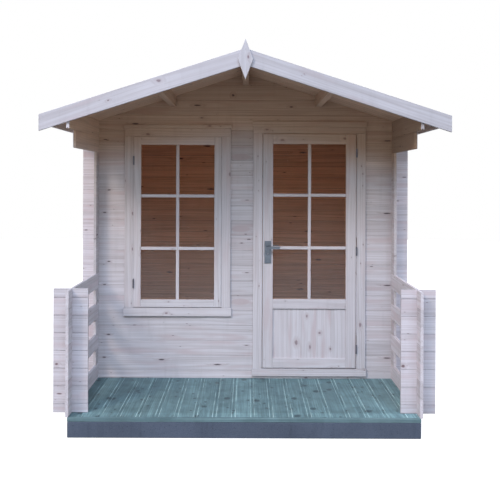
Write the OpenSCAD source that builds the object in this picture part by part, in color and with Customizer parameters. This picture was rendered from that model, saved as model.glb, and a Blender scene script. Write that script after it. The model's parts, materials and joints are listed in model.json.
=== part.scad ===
// Log cabin with a railed porch: notched wall logs, a low gable roof, a half-glazed door and a window.
// Millimetres, +Z up, front towards -Y. The origin is on the ground, under the middle of the roof.

/* [Logs] */
// Thickness of a wall log
log_t = 19; // [17:1:28]
// Height that one log adds to a wall
log_h = 114; // [104:1:124]
// Length that a log runs on past the wall it crosses
log_end = 102; // [80:1:130]
// Bevel along the long edges of a log
log_bevel = 2.5; // [1:0.5:3.5]
// Width of the tongue on top of a log
tongue_w = 7; // [5:0.5:8]
// Height of that tongue
tongue_h = 6; // [4:0.5:8]
// Gap left between pieces that fit together
fit = 0.3; // [0.2:0.05:0.5]

/* [Plan] */
// Distance between the middles of the side walls
cabin_w = 2240; // [2120:1:2600]
// Distance between the middles of the front and back walls
cabin_d = 2240; // [1800:1:3000]
// Depth of the porch, from the front wall to the rail ends
porch_d = 880; // [800:1:1200]
// Whole courses in a side wall, below its eaves log
side_courses = 16; // [15:1:18]
// Courses in a porch rail, an odd number
rail_courses = 7; // [5:2:9]
// Length of the log under the eaves log, forward of the front wall
corbel_d = 800; // [500:1:840]

/* [Base] */
// Height of the plinth
base_h = 102; // [60:1:200]
// Thickness of the floor boards
floor_t = 28; // [19:1:45]
// Distance that the walls overhang the edge of the base, to shed rain
base_inset = 11; // [0:1:14]
// Thickness of the strip across the front ends of the deck boards
deck_trim_t = 19; // [12:1:28]

/* [Roof] */
// Slope of the roof in degrees
roof_pitch = 17.9; // [14:0.1:24]
// Height of the eaves log at its inner face
eaves_log_h = 128; // [118:1:150]
// Width that the roof overhangs the log ends
eaves_out = 69; // [40:1:140]
// Thickness of the roof boards
board_t = 16; // [12:1:24]
// Thickness of the roofing felt
felt_t = 3; // [2:0.5:6]
// Width of a bargeboard
barge_h = 100; // [80:1:140]
// Thickness of a bargeboard
barge_t = 18; // [12:1:28]
// Height of the fascia along the eaves
fascia_h = 56; // [40:1:90]
// Thickness of that fascia
fascia_t = 16; // [12:1:24]
// Width of a purlin
purlin_w = 45; // [36:1:60]
// Height of a purlin at its middle
purlin_h = 74; // [60:1:100]
// Height of the ridge purlin at its middle
ridge_h = 88; // [70:1:100]
// Distance of a side purlin from the ridge
purlin_x = 550; // [420:1:640]
// Width of the diamond finial
finial_w = 98; // [80:1:140]
// Height of the finial
finial_h = 257; // [200:1:300]
// Thickness of the finial
finial_t = 18; // [12:1:28]
// Depth of the finial's middle below the ridge
finial_drop = 71; // [40:1:90]

/* [Door] */
// Middle of the door, to the right of the ridge
door_x = 486; // [440:1:520]
// Width of the door leaf
door_w = 705; // [640:1:720]
// Gap round the door leaf
door_gap = 7; // [6:0.5:9]
// Width of the door's stiles
door_stile_w = 76; // [70:1:95]
// Height of the door's top rail
door_top_h = 75; // [60:1:110]
// Height of the door's middle rail
door_mid_h = 73; // [60:1:110]
// Height of the door's bottom rail
door_low_h = 73; // [50:1:110]
// Height of the boarded panel
door_panel_h = 373; // [250:1:500]
// Thickness of the boarded panel
door_panel_t = 16; // [10:1:22]
// Thickness of the door leaf and the window sash
leaf_t = 40; // [34:1:46]
// Height of the threshold above the floor
threshold_h = 78; // [70:1:100]
// Height of the sill board in front of the threshold
door_sill_h = 58; // [40:1:70]
// Thickness of the lining over the door
door_head_t = 21; // [18:1:40]
// Height of the trim over the door
door_trim_h = 49; // [40:1:70]
// Height of the capping board over that trim
door_cap_h = 40; // [25:1:60]
// Height of the handle's spindle above the floor
lever_z = 996; // [900:1:1100]

/* [Window] */
// Middle of the window, to the left of the ridge
window_x = 512; // [480:1:540]
// Width of the window sash
window_w = 660; // [560:1:680]
// Gap round the sash
window_gap = 5; // [4:0.5:7]
// Width of the sash's stiles
sash_stile_w = 52; // [40:1:70]
// Height of the sash's top rail
sash_top_h = 59; // [40:1:80]
// Height of the sash's bottom rail
sash_low_h = 57; // [40:1:90]
// Whole courses below the window
sill_courses = 4; // [3:1:6]
// Thickness of the lining under the window
window_sill_t = 22; // [18:1:40]
// Thickness of the lining over the window
window_head_t = 48; // [24:1:60]
// Height of the sill board under the window
window_sill_h = 64; // [50:1:90]
// Height of the trim over the window
window_trim_h = 62; // [40:1:70]
// Height of the capping board over that trim
window_cap_h = 26; // [20:1:60]

/* [Joinery] */
// Thickness of the flat trim round an opening
trim_t = 16; // [12:1:20]
// Thickness of sill and capping boards
cap_t = 18; // [17:1:30]
// Length that sill and capping boards pass the trim
cap_over = 8; // [4:1:14]
// Width of the trim beside the door
door_trim_w = 66; // [50:1:70]
// Width of the trim beside the window
window_trim_w = 66; // [50:1:75]
// Distance that leaf and sash stand proud of the trim
leaf_proud = 4; // [2:0.5:8]
// Thickness of the lining beside an opening
lining_t = 30; // [24:1:36]
// Width of the stop that a leaf closes on
stop_w = 15; // [13:1:20]
// Depth of that stop
stop_d = 25; // [18:1:40]
// Room between the door leaf and its stop
stop_gap = 5; // [5:0.5:8]
// Thickness of the glass
glass_t = 4; // [3:0.5:6]
// Depth of the groove that holds glass or panel in its frame
groove_d = 8; // [5:1:12]

/* [Ironmongery] */
// Outer radius of a hinge knuckle
knuckle_r = 5.5; // [4.5:0.5:7]
// Radius of a hinge pin
pin_r = 3; // [2:0.5:3.5]
// Height of a hinge
hinge_h = 66; // [50:1:90]
// Length of a hinge flag
flag_l = 36; // [30:1:38]
// Thickness of a hinge flag
flag_t = 2; // [1.5:0.5:2]
// Distance of the outer hinges from the ends of the leaf
hinge_inset = 142; // [110:1:200]
// Distance of the sash hinges from the ends of the sash
sash_hinge_inset = 179; // [110:1:220]
// Width of the handle plate
plate_w = 50; // [40:1:60]
// Height of the handle plate
plate_h = 168; // [150:1:220]
// Thickness of the handle plate
plate_t = 6; // [4:0.5:8]
// Length of the lever from its spindle
lever_l = 92; // [80:1:120]
// Height of the lever
lever_h = 18; // [14:1:22]
// Thickness of the lever
lever_t = 12; // [9:1:14]
// Room behind the lever
lever_room = 33; // [28:1:45]
// Height of the handle plate above the spindle
plate_up = 48; // [30:1:70]
// Distance of the keyhole below the spindle
key_drop = 46; // [35:1:70]
// Radius of the lever's spindle
spindle_r = 5; // [4:0.5:7]
// Radius of the keyhole
key_r = 4; // [3:0.5:5]

/* [Hidden] */
$fn = 48;
cut = 1; // excess by which a cutter passes the face that it cuts

// Places in plan
half_w = cabin_w / 2;
tip = log_t / 2 + log_end;
roof_len = porch_d + cabin_d + 2 * tip;
y_tip = -roof_len / 2;
y_post = y_tip + tip;
y_front = y_post + porch_d;
y_back = y_front + cabin_d;
end_x = half_w + tip;
eaves_x = end_x + eaves_out;
floor_x = half_w + log_t / 2 - base_inset;
floor_y = y_back + log_t / 2 - base_inset;

// Heights
wall_z = base_h + floor_t;
function course_z(n) = wall_z + n * log_h;
lintel_z = course_z(side_courses + 0.5);
sill_z = course_z(sill_courses + 0.5);
slope = tan(roof_pitch);
board_v = board_t / cos(roof_pitch);
felt_v = felt_t / cos(roof_pitch);
barge_v = barge_h / cos(roof_pitch);
// Underside and top of the roof at a distance from the ridge
function soffit(x) = course_z(side_courses) + eaves_log_h + (half_w - log_t / 2 - abs(x)) * slope;
function roof_top(x) = soffit(x) + board_v + felt_v;
gable_courses = ceil((soffit(0) - lintel_z) / log_h);

// Depths of the joinery, from the front of the front wall back
y_wall = y_front - log_t / 2;
y_leaf = y_wall - trim_t - leaf_proud;
y_leaf_back = y_leaf + leaf_t;
y_door_stop = y_leaf_back + stop_gap;
y_sash_stop = y_leaf_back + fit;
y_lining = max(y_door_stop + stop_d, y_front + log_t / 2 + fit);

// The door's opening, leaf and hinge line
door_in = door_w / 2 + door_gap;
door_out = door_in + lining_t;
leaf_x = door_x - door_w / 2;
leaf_z = wall_z + threshold_h + door_gap;
leaf_top = lintel_z - door_head_t - door_gap;
panel_z = leaf_z + door_low_h;
door_glass_z = panel_z + door_panel_h + door_mid_h;
hinge_x = door_x + door_w / 2 + door_gap / 2;
hinge_y = y_leaf - knuckle_r - fit - 0.2;
hinge_zs = [leaf_z + hinge_inset, (leaf_z + leaf_top) / 2, leaf_top - hinge_inset];
lever_x = leaf_x + door_stile_w / 2;
lever_zc = wall_z + lever_z;
plate_z = lever_zc - plate_h + plate_up;
key_z = lever_zc - key_drop;

// The window's opening and sash
sash_in = window_w / 2 + window_gap;
sash_out = sash_in + lining_t;
sash_z = sill_z + window_sill_t + window_gap;
sash_top = lintel_z - window_head_t - window_gap;
sash_glass_z = sash_z + sash_low_h;
sash_hinge_x = -window_x - window_w / 2 - window_gap / 2;

// Colours
pale_wood = [0.80, 0.76, 0.75];
trim_wood = [0.83, 0.80, 0.80];
treated_wood = [0.42, 0.55, 0.53];
slate_grey = [0.32, 0.36, 0.44];
felt_grey = [0.22, 0.23, 0.24];
steel_grey = [0.50, 0.54, 0.58];
clear_glass = [0.75, 0.85, 0.88, 0.35];

// A box between two corners
module block(low, high) {
    translate(low) cube(high - low);
}

// A profile in X and Z, drawn out along Y
module along_y(from, to) {
    translate([0, to, 0]) rotate([90, 0, 0]) linear_extrude(to - from) children();
}

// A profile in Y and Z, drawn out along X
module along_x(from, to) {
    translate([from, 0, 0]) rotate([90, 0, 90]) linear_extrude(to - from) children();
}

// Section of a log between two heights in its course: bevelled edges, a groove below and a tongue above
module log_section(low, high, groove, tongue) {
    side = log_t / 2;
    groove_w = tongue_w + 2 * fit;
    top = tongue ? high - fit : high;
    polygon(concat(
        [[-side, low + log_bevel], [log_bevel - side, low]],
        groove ? [for (p = [[-1, 0], [-1, 1], [1, 1], [1, 0]])
            [p[0] * groove_w / 2, low + p[1] * (tongue_h + fit)]] : [],
        [[side - log_bevel, low], [side, low + log_bevel], [side, top - log_bevel], [side - log_bevel, top]],
        tongue ? [for (p = [[1, 0], [1, 1], [-1, 1], [-1, 0]])
            [p[0] * tongue_w / 2, top + p[1] * tongue_h]] : [],
        [[log_bevel - side, top], [-side, top - log_bevel]]
    ));
}

// A log along X, notched above and below to half its height wherever it crosses another wall
module log_bar(from, to, crossings, low = 0, high = log_h, groove = true, tongue = true) {
    half_notch = log_t / 2 + fit;
    difference() {
        along_x(from, to) log_section(low, high, groove, tongue);
        for (x = crossings) {
            block([x - half_notch, -log_t, -cut], [x + half_notch, log_t, log_h / 4 + fit / 2]);
            block([x - half_notch, -log_t, log_h * 3 / 4 - fit / 2],
                [x + half_notch, log_t, high + tongue_h + cut]);
        }
    }
}

// One log of a wall that runs across the cabin, half a course above the side walls' logs
module cross_log(y, n, from, to, crossings) {
    translate([0, y, course_z(n + 0.5)]) log_bar(from, to, crossings);
}

// The half log that such a wall starts with, on the floor
module starter_log(y, from, to, crossings) {
    translate([0, y, course_z(-0.5)]) log_bar(from, to, crossings, low = log_h / 2, groove = false);
}

// One log of a side wall
module side_log(side, n, from, to, crossings, tongue = true) {
    translate([side * half_w, 0, course_z(n)]) rotate([0, 0, 90])
        log_bar(from, to, crossings, groove = n > 0, tongue = tongue);
}

// The space under the roof boards, which cuts the tops of gable and eaves logs to the slope
module under_roof(from, to) {
    along_y(from, to) polygon([
        [-eaves_x, wall_z], [eaves_x, wall_z], [eaves_x, soffit(eaves_x) - fit],
        [0, soffit(0) - fit], [-eaves_x, soffit(eaves_x) - fit]
    ]);
}

// Base and floor
module base_plinth() color(slate_grey)
    block([-floor_x, y_tip, 0], [floor_x, floor_y, base_h]);

module cabin_floor() color(treated_wood)
    block([-floor_x, y_front, base_h], [floor_x, floor_y, wall_z]);

module porch_deck() color(treated_wood)
    block([-floor_x, y_tip + deck_trim_t, base_h], [floor_x, y_front - fit, wall_z]);

module deck_front_trim() color(treated_wood)
    block([-floor_x, y_tip, base_h], [floor_x, y_tip + deck_trim_t - fit, wall_z]);

// Side walls: plain courses, courses that run on as porch rails, and the two that carry the roof
function is_rail(n) = n < rail_courses && n % 2 == 0;

module wall_logs(side) color(pale_wood)
    for (n = [0 : side_courses - 2])
        if (!is_rail(n))
            side_log(side, n, y_front - tip, y_back + tip, [y_front, y_back]);

module rail_logs(side) color(pale_wood)
    for (n = [0 : rail_courses - 1])
        if (is_rail(n))
            difference() {
                side_log(side, n, y_tip, y_back + tip, [y_post, y_front, y_back]);
                // the top rail is planed flat where it is a handrail
                if (n == rail_courses - 1)
                    block([side * half_w - log_t, y_tip - cut, course_z(n + 1) - fit],
                        [side * half_w + log_t, y_front - tip, course_z(n + 2)]);
            }

module eaves_logs(side) color(pale_wood) {
    side_log(side, side_courses - 1, y_front - corbel_d, y_back + tip, [y_front, y_back]);
    intersection() {
        translate([side * half_w, 0, course_z(side_courses)]) rotate([0, 0, 90])
            log_bar(y_tip, y_back + tip, [y_front, y_back], high = eaves_log_h, tongue = false);
        under_roof(y_tip - cut, y_back + tip + cut);
    }
}

// Front end of a porch rail: short logs across it, and fillers between the rails
module rail_post(side) color(pale_wood) {
    from = side * half_w - tip;
    to = side * half_w + tip;
    crossing = [side * half_w];
    starter_log(y_post, from, to, crossing);
    for (n = [0 : rail_courses - 2])
        cross_log(y_post, n, from, to, crossing);
    translate([0, y_post, course_z(rail_courses - 0.5)])
        log_bar(from, to, crossing, high = log_h / 2, tongue = false);
    for (n = [0 : rail_courses - 1])
        if (!is_rail(n))
            side_log(side, n, y_tip, y_post + tip, [y_post]);
}

// Back wall, and the logs of both gables
module back_wall_logs() color(pale_wood) {
    starter_log(y_back, -end_x, end_x, [-half_w, half_w]);
    for (n = [0 : side_courses - 1])
        cross_log(y_back, n, -end_x, end_x, [-half_w, half_w]);
}

// A course that would end in a small wedge outside the purlin stops there, and the log below has the wedge
function reach(n) = (soffit(0) - course_z(n + 0.5)) / slope;
function stops_short(n) = reach(n) > purlin_x && reach(n) < purlin_x + 2 * log_h;

module gable_log(y, n) {
    span = stops_short(n) ? purlin_x : end_x;
    difference() {
        intersection() {
            union() {
                cross_log(y, n, -span, span, [-half_w, half_w]);
                if (stops_short(n + 1))
                    for (side = [-1, 1])
                        translate([side * (purlin_x + log_h) - log_h, y - log_t / 2, course_z(n + 1)])
                            cube([2 * log_h, log_t, log_h]);
            }
            under_roof(y - log_t, y + log_t);
        }
        along_y(y - log_t, y + log_t) {
            ridge_section(fit);
            purlin_section(-1, fit);
            purlin_section(1, fit);
        }
    }
}

module gable_logs(y) color(pale_wood)
    for (n = [side_courses : side_courses + gable_courses - 1])
        gable_log(y, n);

// Front wall: logs beside, between and under the openings
module front_left_logs() color(pale_wood)
    for (n = [sill_courses : side_courses - 1])
        cross_log(y_front, n, -end_x, -window_x - sash_out - fit, [-half_w]);

module front_sill_logs() color(pale_wood) {
    to = door_x - door_out - fit;
    starter_log(y_front, -end_x, to, [-half_w]);
    for (n = [0 : sill_courses - 1])
        cross_log(y_front, n, -end_x, to, [-half_w]);
}

module front_middle_logs() color(pale_wood)
    for (n = [sill_courses : side_courses - 1])
        cross_log(y_front, n, -window_x + sash_out + fit, door_x - door_out - fit, []);

module front_right_logs() color(pale_wood) {
    from = door_x + door_out + fit;
    starter_log(y_front, from, end_x, [half_w]);
    for (n = [0 : side_courses - 1])
        cross_log(y_front, n, from, end_x, [half_w]);
}

// Purlins, with tops cut to the slope
module ridge_section(room = 0) {
    side = purlin_w / 2 + room;
    low = soffit(0) - ridge_h - room;
    lift = 2 * room - fit;
    polygon([
        [-side, low], [side, low], [side, soffit(side) + lift],
        [0, soffit(0) + lift], [-side, soffit(side) + lift]
    ]);
}

module purlin_section(side, room = 0) {
    inner = side * (purlin_x - purlin_w / 2 - room);
    outer = side * (purlin_x + purlin_w / 2 + room);
    low = soffit(purlin_x) - purlin_h - room;
    lift = 2 * room - fit;
    polygon([[inner, low], [outer, low], [outer, soffit(outer) + lift], [inner, soffit(inner) + lift]]);
}

module ridge_purlin() color(pale_wood)
    along_y(y_tip, -y_tip) ridge_section();

module side_purlins() color(pale_wood)
    for (side = [-1, 1])
        along_y(y_tip, -y_tip) purlin_section(side);

// Roof slopes
module slope_section(side, from, to, low, high) {
    polygon([
        [side * from, soffit(from) + low], [side * to, soffit(to) + low],
        [side * to, soffit(to) + high], [side * from, soffit(from) + high]
    ]);
}

module roof_boards(side) color(pale_wood)
    along_y(y_tip, -y_tip) slope_section(side, fit / 2, eaves_x - fascia_t - fit, 0, board_v);

module roof_felt() color(felt_grey)
    for (side = [-1, 1])
        along_y(y_tip, -y_tip) slope_section(side, fit / 2, eaves_x, board_v, board_v + felt_v);

module eaves_fascias() color(trim_wood)
    for (side = [-1, 1])
        along_y(y_tip, -y_tip) polygon([
            [side * (eaves_x - fascia_t), soffit(eaves_x) + board_v - fascia_h],
            [side * eaves_x, soffit(eaves_x) + board_v - fascia_h],
            [side * eaves_x, soffit(eaves_x) + board_v],
            [side * (eaves_x - fascia_t), soffit(eaves_x - fascia_t) + board_v]
        ]);

// Bargeboards meet in a plumb cut behind the finial
module bargeboards(from) color(trim_wood)
    for (side = [-1, 1])
        along_y(from, from + barge_t)
            slope_section(side, fit / 2, eaves_x, board_v + felt_v - barge_v, board_v + felt_v);

module finial(from) color(trim_wood)
    along_y(from, from + finial_t) translate([0, roof_top(0) - finial_drop]) polygon([
        [-finial_w / 2, 0], [0, -finial_h / 2], [finial_w / 2, 0], [0, finial_h / 2]
    ]);

// Linings: two jambs with a stop each, a head across them and a sill under them
module jamb(inner, outer, low, high, y_stop) {
    way = sign(inner - outer);
    translate([0, 0, low]) linear_extrude(high - low) polygon([
        [outer, y_wall], [inner, y_wall], [inner, y_stop], [inner + way * stop_w, y_stop],
        [inner + way * stop_w, y_lining], [outer, y_lining]
    ]);
}

module cross_lining(x, half_full, half_stop, low, high, y_stop, stop_low, stop_high) {
    union() {
        block([x - half_full, y_wall, low], [x + half_full, y_lining, high]);
        block([x - half_stop, y_stop, stop_low], [x + half_stop, y_lining, stop_high]);
    }
}

module door_lining() color(trim_wood) {
    head = lintel_z - door_head_t;
    sill = wall_z + threshold_h;
    half_stop = door_in - stop_w - fit;
    for (way = [-1, 1])
        jamb(door_x + way * door_in, door_x + way * door_out, sill + fit, head - fit, y_door_stop);
    cross_lining(door_x, door_out, half_stop, head, lintel_z - fit, y_door_stop, head - stop_w, head);
    cross_lining(door_x, door_out, half_stop, wall_z, sill, y_door_stop, sill, sill + stop_w);
}

module window_lining() color(trim_wood) {
    head = lintel_z - window_head_t;
    sill = sill_z + window_sill_t;
    half_stop = sash_in - stop_w - fit;
    for (way = [-1, 1])
        jamb(-window_x + way * sash_in, -window_x + way * sash_out, sill + fit, head - fit, y_sash_stop);
    cross_lining(-window_x, sash_out, half_stop, head, lintel_z - fit, y_sash_stop, head - stop_w, head);
    difference() {
        cross_lining(-window_x, sash_out, half_stop, sill_z, sill, y_sash_stop, sill, sill + stop_w);
        // the sill sits over the tongue of the log below
        block([-window_x - sash_out - cut, y_front - tongue_w / 2 - fit, sill_z - cut],
            [-window_x + sash_out + cut, y_front + tongue_w / 2 + fit, sill_z + tongue_h + fit]);
    }
}

// Flat trim round an opening: sides, top, capping board and sill board
module surround(x, inner, low, high, side_w, top_h, cap_h, sill_h) {
    outer = inner + side_w;
    for (way = [-1, 1])
        block([x + (way < 0 ? -outer : inner), y_wall - trim_t, low + fit],
            [x + (way < 0 ? -inner : outer), y_wall, high - fit]);
    block([x - outer, y_wall - trim_t, high], [x + outer, y_wall, high + top_h - fit]);
    block([x - outer - cap_over, y_wall - cap_t, high + top_h],
        [x + outer + cap_over, y_wall, high + top_h + cap_h]);
    block([x - outer - cap_over, y_wall - cap_t, low - sill_h], [x + outer + cap_over, y_wall, low]);
}

module door_surround() color(trim_wood)
    surround(door_x, door_in, wall_z + threshold_h, lintel_z - door_head_t,
        door_trim_w, door_trim_h, door_cap_h, door_sill_h);

module window_surround() color(trim_wood)
    surround(-window_x, sash_in, sill_z + window_sill_t, lintel_z - window_head_t,
        window_trim_w, window_trim_h, window_cap_h, window_sill_h);

// A sheet in the middle of a leaf's thickness that runs on into its frame, or the groove that takes it
module sheet(x, half, low, high, thick, room = 0) {
    middle = y_leaf + leaf_t / 2;
    out = groove_d - fit + room;
    block([x - half - out, middle - thick / 2 - room, low - out],
        [x + half + out, middle + thick / 2 + room, high + out]);
}

// Framed leaf or sash: two stiles, with rails at the heights given between them
module framed(x, w, stile, low, high, rails) {
    inner = w / 2 - stile;
    for (way = [-1, 1])
        block([x + (way < 0 ? -w / 2 : inner), y_leaf, low],
            [x + (way < 0 ? -inner : w / 2), y_leaf_back, high]);
    for (r = rails)
        block([x - inner + fit, y_leaf, r[0]], [x + inner - fit, y_leaf_back, r[1]]);
}

module sash_sheet(room = 0)
    sheet(-window_x, window_w / 2 - sash_stile_w, sash_glass_z, sash_top - sash_top_h, glass_t, room);

module window_sash() color(trim_wood)
    difference() {
        framed(-window_x, window_w, sash_stile_w, sash_z, sash_top,
            [[sash_z, sash_glass_z], [sash_top - sash_top_h, sash_top]]);
        sash_sheet(fit);
    }

module window_glass() color(clear_glass)
    sash_sheet();

module door_board_sheet(room = 0)
    sheet(door_x, door_w / 2 - door_stile_w, panel_z, panel_z + door_panel_h, door_panel_t, room);

module door_glass_sheet(room = 0)
    sheet(door_x, door_w / 2 - door_stile_w, door_glass_z, leaf_top - door_top_h, glass_t, room);

module door_leaf() color(trim_wood)
    difference() {
        framed(door_x, door_w, door_stile_w, leaf_z, leaf_top,
            [[leaf_z, panel_z], [panel_z + door_panel_h, door_glass_z], [leaf_top - door_top_h, leaf_top]]);
        door_board_sheet(fit);
        door_glass_sheet(fit);
        translate([lever_x, y_leaf - cut, lever_zc]) rotate([-90, 0, 0])
            cylinder(r = spindle_r + cut, h = leaf_t + 2 * cut);
    }

module door_panel() color(trim_wood)
    door_board_sheet();

module door_glass() color(clear_glass)
    door_glass_sheet();

// Lift-off hinges: a lower flag with the pin stays on the frame, an upper flag with the eye is on the leaf
module knuckle_at(x, z, h) {
    translate([x, hinge_y, z]) cylinder(r = knuckle_r, h = h);
}

module hinge_flag(x_from, x_to, z, h) {
    block([min(x_from, x_to), hinge_y, z], [max(x_from, x_to), hinge_y + flag_l, z + h]);
}

module door_hinge_pins() color(steel_grey)
    for (z = hinge_zs) {
        edge = door_x + door_in;
        knuckle_at(hinge_x, z - hinge_h / 2, hinge_h / 2);
        hinge_flag(edge - flag_t, edge, z - hinge_h / 2, hinge_h / 2);
        translate([hinge_x, hinge_y, z]) cylinder(r = pin_r, h = hinge_h / 2 - fit);
    }

module door_hinge_flags() color(steel_grey)
    for (z = hinge_zs) {
        edge = door_x + door_w / 2;
        low = z + fit;
        difference() {
            union() {
                knuckle_at(hinge_x, low, hinge_h / 2 - fit);
                hinge_flag(edge, edge + flag_t, low, hinge_h / 2 - fit);
            }
            translate([hinge_x, hinge_y, z - cut]) cylinder(r = pin_r + fit / 3, h = hinge_h / 2 + 2 * cut);
        }
    }

module window_hinges() color(steel_grey)
    for (z = [sash_z + sash_hinge_inset, sash_top - sash_hinge_inset]) {
        edge = -window_x - window_w / 2;
        knuckle_at(sash_hinge_x, z - hinge_h / 2, hinge_h);
        hinge_flag(edge - window_gap, edge, z - hinge_h / 2, hinge_h);
    }

// Handle plates on both faces, with a keyhole, and one lever set on a common spindle
module handle_plate(from) {
    difference() {
        block([lever_x - plate_w / 2, from, plate_z],
            [lever_x + plate_w / 2, from + plate_t, plate_z + plate_h]);
        translate([lever_x, from - cut, lever_zc]) rotate([-90, 0, 0])
            cylinder(r = spindle_r + fit / 3, h = plate_t + 2 * cut);
        translate([lever_x, from - cut, key_z]) rotate([-90, 0, 0])
            cylinder(r = key_r, h = plate_t + 2 * cut);
        block([lever_x - key_r / 2, from - cut, key_z - 3 * key_r],
            [lever_x + key_r / 2, from + plate_t + cut, key_z]);
    }
}

module door_plates() color(steel_grey) {
    handle_plate(y_leaf - plate_t);
    handle_plate(y_leaf_back);
}

module lever_arm(face, way) {
    neck_y = face + way * fit;
    bar_y = face + way * lever_room;
    translate([lever_x, neck_y, lever_zc]) rotate([-90 * way, 0, 0])
        cylinder(r = lever_h / 2, h = lever_room);
    translate([lever_x + lever_l - lever_h / 2, bar_y, lever_zc]) rotate([-90 * way, 0, 0])
        cylinder(r = lever_h / 2, h = lever_t);
    translate([lever_x, bar_y, lever_zc]) rotate([-90 * way, 0, 0]) cylinder(r = lever_h / 2, h = lever_t);
    block([lever_x, min(bar_y, bar_y + way * lever_t), lever_zc - lever_h / 2],
        [lever_x + lever_l - lever_h / 2, max(bar_y, bar_y + way * lever_t), lever_zc + lever_h / 2]);
}

module door_lever() color(steel_grey)
    union() {
        lever_arm(y_leaf - plate_t, -1);
        lever_arm(y_leaf_back + plate_t, 1);
        translate([lever_x, y_leaf - plate_t - lever_room, lever_zc]) rotate([-90, 0, 0])
            cylinder(r = spindle_r, h = leaf_t + 2 * (plate_t + lever_room));
    }

base_plinth();
cabin_floor();
porch_deck();
deck_front_trim();
wall_logs(-1);  // left_wall_logs
rail_logs(-1);  // left_rail_logs
eaves_logs(-1);  // left_eaves_logs
wall_logs(1);  // right_wall_logs
rail_logs(1);  // right_rail_logs
eaves_logs(1);  // right_eaves_logs
back_wall_logs();
gable_logs(y_back);  // back_gable_logs
front_left_logs();
front_sill_logs();
front_middle_logs();
front_right_logs();
gable_logs(y_front);  // front_gable_logs
rail_post(-1);  // left_rail_post
rail_post(1);  // right_rail_post
ridge_purlin();
side_purlins();
roof_boards(-1);  // left_roof_boards
roof_boards(1);  // right_roof_boards
roof_felt();
eaves_fascias();
bargeboards(y_tip - barge_t);  // front_bargeboards
bargeboards(-y_tip);  // back_bargeboards
finial(y_tip - barge_t - finial_t);  // front_finial
finial(barge_t - y_tip);  // back_finial
window_lining();
window_surround();
window_sash();
window_glass();
window_hinges();
door_lining();
door_surround();
door_hinge_pins();
door_leaf();
door_panel();
door_glass();
door_hinge_flags();
door_plates();
door_lever();
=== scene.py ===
import json
import math
import random
from collections import Counter

import bmesh
import bpy
import numpy as np
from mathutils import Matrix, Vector


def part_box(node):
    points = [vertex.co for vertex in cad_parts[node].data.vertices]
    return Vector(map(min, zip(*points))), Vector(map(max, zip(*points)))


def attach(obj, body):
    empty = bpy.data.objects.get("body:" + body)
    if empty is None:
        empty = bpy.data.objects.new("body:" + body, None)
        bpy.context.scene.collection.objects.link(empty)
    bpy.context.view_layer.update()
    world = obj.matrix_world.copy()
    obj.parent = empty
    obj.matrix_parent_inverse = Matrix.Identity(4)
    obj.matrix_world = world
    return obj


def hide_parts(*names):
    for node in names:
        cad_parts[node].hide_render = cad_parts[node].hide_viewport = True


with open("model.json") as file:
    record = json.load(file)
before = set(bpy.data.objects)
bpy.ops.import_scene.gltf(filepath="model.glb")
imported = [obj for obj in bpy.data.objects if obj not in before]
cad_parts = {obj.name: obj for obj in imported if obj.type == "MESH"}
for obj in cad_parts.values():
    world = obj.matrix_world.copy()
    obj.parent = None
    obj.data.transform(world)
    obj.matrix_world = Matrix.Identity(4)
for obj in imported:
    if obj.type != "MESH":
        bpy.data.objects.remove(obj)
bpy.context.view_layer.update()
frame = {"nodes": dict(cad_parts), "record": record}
cadNodes = frame["nodes"]
bodyOf = {node: body for body, members in frame["record"]["behaviour"]["bodies"].items() for node in members}
scene = bpy.context.scene
scene.view_settings.view_transform = "Standard"
alongX, alongY, upZ = Vector((1, 0, 0)), Vector((0, 1, 0)), Vector((0, 0, 1))


# small helpers for node trees

def feed(tree, socket, value):
    if isinstance(value, bpy.types.NodeSocket):
        tree.links.new(value, socket)
    elif socket.type == "RGBA" and len(value) == 3:
        socket.default_value = (*value, 1.0)
    else:
        socket.default_value = value


def put(tree, kind, inputs=None, **settings):
    node = tree.nodes.new(kind)
    for name, value in settings.items():
        setattr(node, name, value)
    for name, value in (inputs or {}).items():
        feed(tree, node.inputs[name], value)
    return node


def calc(tree, operation, *values, clamp=False):
    node = put(tree, "ShaderNodeMath", operation=operation, use_clamp=clamp)
    for socket, value in zip(node.inputs, values):
        feed(tree, socket, value)
    return node.outputs[0]


def times(tree, product, *factors):
    for factor in factors:
        product = calc(tree, "MULTIPLY", product, factor)
    return product


def timesPlus(tree, value, factor, more, clamp=False):
    return calc(tree, "MULTIPLY_ADD", value, factor, more, clamp=clamp)


def vectorCalc(tree, operation, *values):
    node = put(tree, "ShaderNodeVectorMath", operation=operation)
    for socket, value in zip(node.inputs, values):
        feed(tree, socket, value)
    return node.outputs["Value" if operation in ("LENGTH", "DOT_PRODUCT") else "Vector"]


def stretch(tree, vector, factors):
    return vectorCalc(tree, "MULTIPLY", vector, factors)


def scaled(tree, colour, factor):
    node = put(tree, "ShaderNodeVectorMath", {"Vector": colour, "Scale": factor}, operation="SCALE")
    return node.outputs["Vector"]


def ease(tree, value, low, high, start=0.0, end=1.0):
    node = put(tree, "ShaderNodeMapRange", interpolation_type="SMOOTHSTEP")
    for index, part in enumerate((value, low, high, start, end)):
        feed(tree, node.inputs[index], part)
    return node.outputs[0]


def blendColour(tree, factor, first, second, mode="MIX"):
    node = put(tree, "ShaderNodeMix", data_type="RGBA", blend_type=mode, clamp_factor=True)
    for index, value in ((0, factor), (6, first), (7, second)):
        feed(tree, node.inputs[index], value)
    return node.outputs[2]


def noise(tree, vector, scale, detail=2.0, roughness=0.5):
    settings = {"Vector": vector, "Scale": scale, "Detail": detail, "Roughness": roughness}
    return put(tree, "ShaderNodeTexNoise", settings).outputs["Fac"]


def split(tree, vector):
    return put(tree, "ShaderNodeSeparateXYZ", {"Vector": vector}).outputs


def spotOf(tree):
    return put(tree, "ShaderNodeTexCoord").outputs["Object"]


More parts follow.
